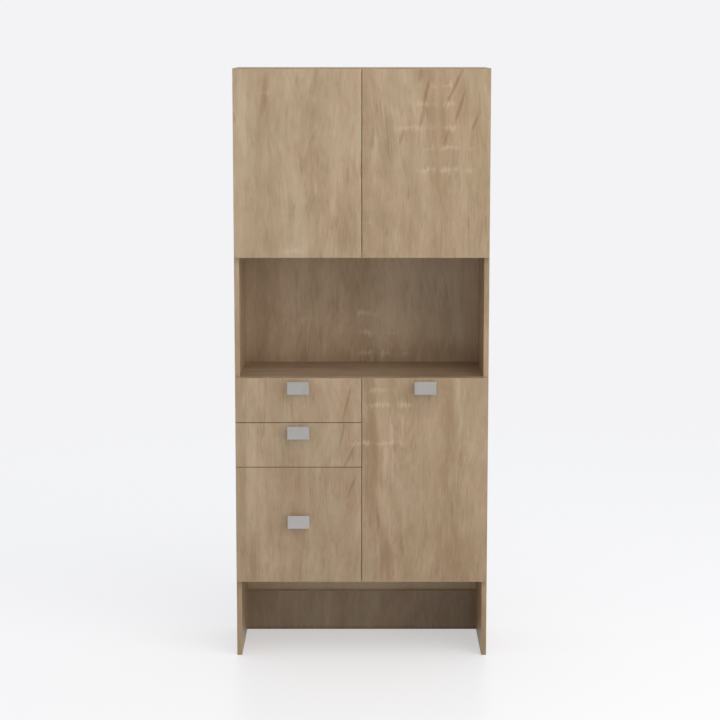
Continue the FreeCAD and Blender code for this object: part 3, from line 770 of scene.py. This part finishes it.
# %% Back sheets
BARE_FACE_BAND = 0.0006
FIBRE_MOTTLE = (38.0, 38.0, 38.0)
FIBRE_SPECKLE = (900.0, 900.0, 900.0)
BARE_DARK = (0.150, 0.088, 0.046, 1)
BARE_PALE = (0.270, 0.175, 0.100, 1)
NICHE_ROWS = (
    (0.029, 1.068, 0.053, 1.0),
    (0.059, 1.005, 0.066, 1.2),
    (0.073, 0.935, 0.097, 1.2),
    (-0.220, 1.041, 0.053, 0.7),
)
# Painted light at the top right of the niche and painted shade along its foot; the thin fourth streak
# darkens its middle.
NICHE_LIGHT_AND_SHADE_STREAKS = (
    (0.24, 1.27, 0.20, 0.17, 0.0, 0.14),
    (0.24, 0.905, 0.30, 0.075, 0.0, -0.10),
    (-0.20, 0.900, 0.40, 0.045, 0.0, -0.07),
    (0.01, 1.10, 0.022, 0.30, 0.0, -0.07),
)


def back_sheet(node, shift, heart, rows=(), streaks=(), tone=MIDDLE_TONE):
    """Dress a back sheet: oak print in front, bare fibreboard behind."""
    finish = oak_board(node, "front", shift, heart, rows, streaks, tone)
    tree = finish.node_tree
    shader = tree.nodes["Principled BSDF"]
    place = object_place(tree)
    bare = calculate(tree, "GREATER_THAN", split(tree, place)["Y"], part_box(node)[1].y - BARE_FACE_BAND)
    mottle = noise(tree, place, FIBRE_MOTTLE, detail=3.0, roughness=0.6)
    speckle = noise(tree, place, FIBRE_SPECKLE, detail=1.0)
    pale = weighted_sum(tree, 0.5, ((mottle, 0.5, 1.2), (speckle, 0.5, 0.9)))
    fibre = mix_colours(tree, pale, BARE_DARK, BARE_PALE)
    printed = shader.inputs["Base Color"].links[0].from_socket
    tree.links.new(mix_colours(tree, bare, printed, fibre), shader.inputs["Base Color"])


back_sheet("upper_back_panel", shift=(5.2, 0.9, 6.4), heart=(0.1, 0.4),
           rows=NICHE_ROWS, streaks=NICHE_LIGHT_AND_SHADE_STREAKS)
# The lower sheet's pale tone is painted light on the strip of it seen above the plinth.
back_sheet("lower_back_panel", shift=(9.4, 1.9, 3.8), heart=(-0.1, -0.4), tone=0.72)
print("oak finishes:", len([finish for finish in bpy.data.materials if finish.name.startswith("oak_")]))

# %% [markdown]
# ## Metal finishes
# The hardware has several metals: satin nickel on the pulls, brighter nickel on the hinges and
# shelf pins, zinc-plated steel on the rails, brackets and screws, and grey die-cast zinc on the
# cams. All of them need the same two things: fine lines or grains from how they were made, and
# faint cloudy patches from handling. One shader group gives both, with its own stretch for each metal.

# %% The metal group
CLOUD_STRETCH = (45.0, 45.0, 45.0)
METAL_RELIEF_STRENGTH = 0.2

metal_wear, given, gives = start_group(
    "metal_wear",
    {"Place": "Vector", "Line Stretch": "Vector", "Dark": "Color", "Pale": "Color", "Gloss": "Float"},
    {"Color": "Color", "Roughness": "Float", "Height": "Float"},
)
lines = noise(metal_wear, given["Place"], given["Line Stretch"], roughness=0.6)
clouds = noise(metal_wear, given["Place"], CLOUD_STRETCH, detail=3.0, roughness=0.6)
shine = weighted_sum(metal_wear, 0.5, ((lines, 0.5, 0.8), (clouds, 0.5, 0.9)))
gloss = weighted_sum(metal_wear, given["Gloss"], ((lines, 0.5, 0.12), (clouds, 0.5, 0.22)))
metal_wear.links.new(mix_colours(metal_wear, shine, given["Dark"], given["Pale"]), gives["Color"])
metal_wear.links.new(gloss, gives["Roughness"])
metal_wear.links.new(lines, gives["Height"])


def metal(name, dark, pale, gloss, line_stretch, relief_depth):
    """Metal finish from its two tones, its roughness and the stretch of its lines."""
    finish, tree, shader = new_finish(name)
    inputs = {"Place": object_place(tree), "Line Stretch": line_stretch, "Gloss": gloss}
    inputs.update({"Dark": dark, "Pale": pale})
    wear = place_group(tree, metal_wear, inputs)
    shader.inputs["Metallic"].default_value = 1.0
    paint(tree, shader, wear["Color"], wear["Roughness"], wear["Height"],
          METAL_RELIEF_STRENGTH, relief_depth)
    return finish


satin_nickel = metal(
    "satin_nickel", dark=(0.442, 0.423, 0.396, 1), pale=(0.515, 0.495, 0.464, 1),
    gloss=0.38, line_stretch=(60, 2500, 2500), relief_depth=0.00004)
bright_nickel = metal(
    "bright_nickel", dark=(0.52, 0.51, 0.49, 1), pale=(0.66, 0.65, 0.62, 1),
    gloss=0.24, line_stretch=(700, 700, 700), relief_depth=0.00003)
rail_zinc = metal(
    "rail_zinc", dark=(0.47, 0.49, 0.51, 1), pale=(0.62, 0.64, 0.66, 1),
    gloss=0.34, line_stretch=(900, 60, 900), relief_depth=0.00004)
cast_zinc = metal(
    "cast_zinc", dark=(0.34, 0.34, 0.345, 1), pale=(0.47, 0.47, 0.475, 1),
    gloss=0.46, line_stretch=(1500, 1500, 1500), relief_depth=0.00008)
screw_zinc = metal(
    "screw_zinc", dark=(0.50, 0.51, 0.52, 1), pale=(0.64, 0.65, 0.66, 1),
    gloss=0.28, line_stretch=(1200, 1200, 1200), relief_depth=0.00003)
print("metal finishes made")

# %% [markdown]
# The names of the solids say what each one is, so a few rules on the names give every piece of
# hardware its metal.

# %% Metal on the solids
for node in PULLS:
    dress(node, satin_nickel)
for node in nodes:
    if "hinge" in node or node == "shelf_pins":
        dress(node, bright_nickel)
    if "rails" in node or node == "wall_brackets":
        dress(node, rail_zinc)
    if node == "cam_discs":
        dress(node, cast_zinc)
    if "screws" in node or node == "cam_bolts":
        dress(node, screw_zinc)
print("pulls:", len(PULLS))

# %% [markdown]
# ## Screws
# More than seventy screws hold the backs, hinge plates, rails, drawer corners and pulls. On the
# solids they are plain heads on plain shanks; real ones have domed heads with a cross cut into
# them. One screw could be modelled and copied by hand, but Geometry Nodes make it from a few sizes
# and set it on every seat in one go, each turned by chance as a screwdriver leaves it. The head comes
# first: a short cylinder whose top is pulled down towards its rim.

# %% The screw tree: domed head
HEAD_SIDES = 20
HEAD_RINGS = 3

screws, given, gives = start_group(
    "cross_head_screws",
    {"Seats": "Geometry", "Head Radius": "Float", "Head Height": "Float", "Dome": "Float",
     "Shank Radius": "Float", "Shank Length": "Float", "Seed": "Int", "Finish": "Material"},
    {"Screws": "Geometry"},
    "GeometryNodeTree",
)


def lift(tree, geometry, height, turn=0.0):
    """Move a geometry up along Z and turn it about Z."""
    inputs = {"Geometry": geometry, "Translation": join(tree, z=height), "Rotation": (0, 0, turn)}
    return wire(tree, "GeometryNodeTransform", inputs).outputs[0]


half_head = calculate(screws, "MULTIPLY", given["Head Height"], 0.5)
head_inputs = {"Vertices": HEAD_SIDES, "Side Segments": 1, "Fill Segments": HEAD_RINGS}
head_inputs.update({"Radius": given["Head Radius"], "Depth": given["Head Height"]})
head = wire(screws, "GeometryNodeMeshCylinder", head_inputs, fill_type="TRIANGLE_FAN").outputs["Mesh"]
head = lift(screws, head, half_head)
corner = split(screws, wire(screws, "GeometryNodeInputPosition").outputs[0])
radius = measure(screws, join(screws, x=corner["X"], y=corner["Y"]))
drop = calculate(screws, "POWER", calculate(screws, "DIVIDE", radius, given["Head Radius"]), 2.0)
on_top = calculate(screws, "GREATER_THAN", corner["Z"], half_head)
for factor in (on_top, given["Dome"], given["Head Height"], -1.0):
    drop = calculate(screws, "MULTIPLY", drop, factor)
dome_inputs = {"Geometry": head, "Offset": join(screws, z=drop)}
head = wire(screws, "GeometryNodeSetPosition", dome_inputs).outputs[0]
print("sides of a screw head:", HEAD_SIDES)

# %% [markdown]
# Two crossed blades cut the cross out of the head. The shank is a cylinder that ends in a cone.

# %% The screw tree: cross, shank and tip
SHANK_SIDES = 12
CROSS_LENGTH = 1.15
CROSS_WIDTH = 0.30
CROSS_FLOOR = 0.45
TIP_SHARE = 0.3

blade_length = calculate(screws, "MULTIPLY", given["Head Radius"], CROSS_LENGTH)
blade_width = calculate(screws, "MULTIPLY", given["Head Radius"], CROSS_WIDTH)
blade_size = join(screws, blade_length, blade_width, given["Head Height"])
blade = wire(screws, "GeometryNodeMeshCube", {"Size": blade_size}).outputs[0]
blade_height = calculate(screws, "MULTIPLY", given["Head Height"], CROSS_FLOOR + 0.5)
cut = wire(screws, "GeometryNodeMeshBoolean", {"Mesh 1": head}, operation="DIFFERENCE")
for turn in (0.0, math.pi / 2):
    screws.links.new(lift(screws, blade, blade_height, turn), cut.inputs["Mesh 2"])

shank_inputs = {"Vertices": SHANK_SIDES, "Radius": given["Shank Radius"]}
shank_inputs["Depth"] = calculate(screws, "MULTIPLY", given["Shank Length"], 1 - TIP_SHARE)
shank = wire(screws, "GeometryNodeMeshCylinder", shank_inputs).outputs["Mesh"]
shank = lift(screws, shank, calculate(screws, "MULTIPLY", given["Shank Length"], (TIP_SHARE - 1) / 2))
tip_inputs = {"Vertices": SHANK_SIDES, "Radius Top": given["Shank Radius"], "Radius Bottom": 0.0}
tip_inputs["Depth"] = calculate(screws, "MULTIPLY", given["Shank Length"], TIP_SHARE)
tip = wire(screws, "GeometryNodeMeshCone", tip_inputs).outputs["Mesh"]
tip = lift(screws, tip, calculate(screws, "MULTIPLY", given["Shank Length"], -1.0))
one_screw = wire(screws, "GeometryNodeJoinGeometry")
for part in (cut.outputs[0], shank, tip):
    screws.links.new(part, one_screw.inputs[0])
print("share of the shank that is tip:", TIP_SHARE)

# %% [markdown]
# The finished screw is set on every seat point. Each point carries the direction that its head faces,
# and a seeded random turn about that direction.

# %% The screw tree: on the seats
facing = wire(screws, "GeometryNodeInputNamedAttribute", {"Name": "facing"}, data_type="FLOAT_VECTOR")
align_inputs = {"Vector": facing.outputs[0]}
upright = wire(screws, "FunctionNodeAlignRotationToVector", align_inputs, axis="Z").outputs[0]
seat_inputs = {"Points": given["Seats"], "Instance": one_screw.outputs[0], "Rotation": upright}
seated = wire(screws, "GeometryNodeInstanceOnPoints", seat_inputs).outputs[0]
chance = wire(screws, "FunctionNodeRandomValue", {"Seed": given["Seed"]}, data_type="FLOAT").outputs[1]
twist = join(screws, z=calculate(screws, "MULTIPLY", chance, math.pi))
turned = wire(screws, "GeometryNodeRotateInstances", {"Instances": seated, "Rotation": twist}).outputs[0]
real = wire(screws, "GeometryNodeRealizeInstances", {"Geometry": turned}).outputs[0]
finished = wire(screws, "GeometryNodeSetMaterial", {"Geometry": real, "Material": given["Finish"]})
screws.links.new(finished.outputs[0], gives["Screws"])
screw_sockets = {}
for socket in screws.interface.items_tree:
    if socket.in_out == "INPUT":
        screw_sockets[socket.name] = socket.identifier
print("inputs of the screw tree:", list(screw_sockets))

# %% [markdown]
# The solids say where each screw sits. In a solid node every screw is an island of joined corners,
# longest along its axis, and its head is the end where the corners lie furthest from that axis. So
# the seats, directions and sizes are read from the islands, and a screw can't miss its hole.

# %% Find the screws in the solids
MERGE_DISTANCE = 0.00001
SAME_LEVEL = 0.0001
HEAD_SHARE = 0.9
AXIS_SHARE = 0.1
TENTHS_IN_METRE = 10000


def islands(node):
    """Corners of a solid node, one list for each of its separate solids."""
    solid = bmesh.new()
    solid.from_mesh(nodes[node].data)
    bmesh.ops.remove_doubles(solid, verts=solid.verts, dist=MERGE_DISTANCE)
    waiting = set(solid.verts)
    found = []
    while waiting:
        island = [waiting.pop()]
        for corner in island:
            for edge in corner.link_edges:
                other = edge.other_vert(corner)
                if other in waiting:
                    waiting.remove(other)
                    island.append(other)
        found.append([corner.co.copy() for corner in island])
    solid.free()
    return found


def read_screw(corners):
    """Seat, direction and sizes in tenths of a millimetre of one screw."""
    low = Vector(min(corner[side] for corner in corners) for side in range(3))
    high = Vector(max(corner[side] for corner in corners) for side in range(3))
    axis = max(range(3), key=lambda side: high[side] - low[side])
    middle = (low + high) / 2

    def off_axis(corner):
        flat = corner - middle
        flat[axis] = 0
        return flat.length

    head_radius = max(off_axis(corner) for corner in corners)
    head_levels = [corner[axis] for corner in corners if off_axis(corner) > HEAD_SHARE * head_radius]
    outer = [off_axis(corner) for corner in corners if off_axis(corner) > AXIS_SHARE * head_radius]
    shank_radius = min(outer)
    toward = 1 if max(head_levels) > high[axis] - SAME_LEVEL else -1
    seat = middle.copy()
    seat[axis] = min(head_levels) if toward > 0 else max(head_levels)
    facing = Vector((0, 0, 0))
    facing[axis] = toward
    head_height = max(head_levels) - min(head_levels)
    lengths = (head_radius, head_height, shank_radius, high[axis] - low[axis] - head_height)
    return tuple(seat), tuple(facing), tuple(round(length * TENTHS_IN_METRE) for length in lengths)


SCREW_NODES = {"back_screws": "carcass", "carcass_screws": "carcass", "lower_door_screws": "lower_door"}
SCREW_NODES.update({"drawer_%d_screws" % number: "drawer_%d" % number for number in (1, 2, 3)})
found_screws = {}
for node in SCREW_NODES:
    found_screws[node] = sorted(read_screw(corners) for corners in islands(node))
    kinds = sorted({sizes for seat, facing, sizes in found_screws[node]})
    print(node, len(found_screws[node]), "sizes:", kinds)

# %% [markdown]
# Each kind of screw runs through the tree once, and the kinds of one node become one plain mesh
# that rides on its body. The long screws in the drawer corners are sunk flush, so their heads are
# almost flat; all others have a dome.

# %% Set the screws
SUNK_SHANK_TENTHS = 300
SUNK_DOME = 0.12
PAN_DOME = 0.45
SCREW_SEED = 7
SMOOTH_ANGLE = math.radians(35)


def run_screw_tree(name, sizes, seats):
    """Plain mesh of equal screws from the screw tree."""
    points = bpy.data.meshes.new(name)
    points.from_pydata([seat for seat, facing in seats], [], [])
    directions = points.attributes.new("facing", "FLOAT_VECTOR", "POINT")
    for entry, (seat, facing) in zip(directions.data, seats):
        entry.vector = facing
    holder = bpy.data.objects.new(name, points)
    bpy.context.scene.collection.objects.link(holder)
    modifier = holder.modifiers.new("screws", "NODES")
    modifier.node_group = screws
    head_radius, head_height, shank_radius, shank_length = (length / TENTHS_IN_METRE for length in sizes)
    values = {"Head Radius": head_radius, "Head Height": head_height, "Shank Radius": shank_radius}
    values.update({"Shank Length": shank_length, "Seed": SCREW_SEED, "Finish": screw_zinc})
    values["Dome"] = SUNK_DOME if sizes[3] > SUNK_SHANK_TENTHS else PAN_DOME
    for socket_name, value in values.items():
        modifier[screw_sockets[socket_name]] = value
    made = bpy.data.meshes.new_from_object(holder.evaluated_get(bpy.context.evaluated_depsgraph_get()))
    holder.modifiers.clear()
    bpy.data.objects.remove(holder)
    return made


for node, body in SCREW_NODES.items():
    joined = bmesh.new()
    for sizes in sorted({sizes for seat, facing, sizes in found_screws[node]}):
        seats = [(seat, facing) for seat, facing, own_sizes in found_screws[node] if own_sizes == sizes]
        joined.from_mesh(run_screw_tree(node + "_seats", sizes, seats))
    bmesh.ops.recalc_face_normals(joined, faces=joined.faces)
    screw_mesh = bpy.data.meshes.new(node + "_cross_heads")
    joined.to_mesh(screw_mesh)
    joined.free()
    screw_mesh.polygons.foreach_set("use_smooth", [True] * len(screw_mesh.polygons))
    screw_mesh.set_sharp_from_angle(angle=SMOOTH_ANGLE)
    screw_mesh.materials.append(screw_zinc)
    screw_piece = bpy.data.objects.new(node + "_cross_heads", screw_mesh)
    bpy.context.scene.collection.objects.link(screw_piece)
    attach(screw_piece, body)
    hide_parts(node)
    print(screw_piece.name, "faces:", len(screw_mesh.polygons))

# %% [markdown]
# ## Drawer boxes and dowels
# Inside the drawers the boards are plain pale melamine with a faint pearled surface, and the
# bottoms are lacquered fibreboard. The dowels are beech, which shows many short darker flecks.

# %% Drawer and dowel finishes
BOARD_CLOUD_STRETCH = (6.0, 6.0, 6.0)
PEARL_STRENGTH = 0.2
PEARL_DEPTH = 0.0001


def pale_board(name, dark, pale, pearl_stretch, roughness):
    """Pale board with a pearled surface."""
    finish, tree, shader = new_finish(name)
    place = object_place(tree)
    pearl = noise(tree, place, pearl_stretch)
    cloud = noise(tree, place, BOARD_CLOUD_STRETCH)
    tint = weighted_sum(tree, 0.5, ((pearl, 0.5, 0.8), (cloud, 0.5, 1.0)))
    colour = mix_colours(tree, tint, dark, pale)
    gloss = weighted_sum(tree, roughness, ((pearl, 0.5, 0.2),))
    paint(tree, shader, colour, gloss, pearl, PEARL_STRENGTH, PEARL_DEPTH)
    return finish


drawer_melamine = pale_board(
    "drawer_melamine", dark=(0.60, 0.59, 0.56, 1), pale=(0.70, 0.69, 0.66, 1),
    pearl_stretch=(620, 620, 620), roughness=0.5)
drawer_lacquer = pale_board(
    "drawer_lacquer", dark=(0.56, 0.55, 0.52, 1), pale=(0.66, 0.65, 0.62, 1),
    pearl_stretch=(240, 240, 240), roughness=0.42)
beech = pale_board(
    "beech", dark=(0.36, 0.22, 0.12, 1), pale=(0.62, 0.45, 0.28, 1),
    pearl_stretch=(40, 900, 900), roughness=0.6)
for node in nodes:
    if node.startswith("drawer_") and node.endswith(("_left_side", "_right_side", "_back")):
        dress(node, drawer_melamine)
    if node.startswith("drawer_") and node.endswith("_bottom"):
        dress(node, drawer_lacquer)
dress("wood_dowels", beech)
print("drawer finishes made")

# %% [markdown]
# The dressed cabinet must stay inside the box of its solids. Both boxes are gathered side by side, and the
# size of the dressed one is printed.

# %% Size and end
dressed_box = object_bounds()
sizes = {"cad": [list(corner) for corner in cad_box], "visual": [list(corner) for corner in dressed_box]}
print("dressed size in metres:", [round(side, 3) for side in dressed_box[1] - dressed_box[0]])
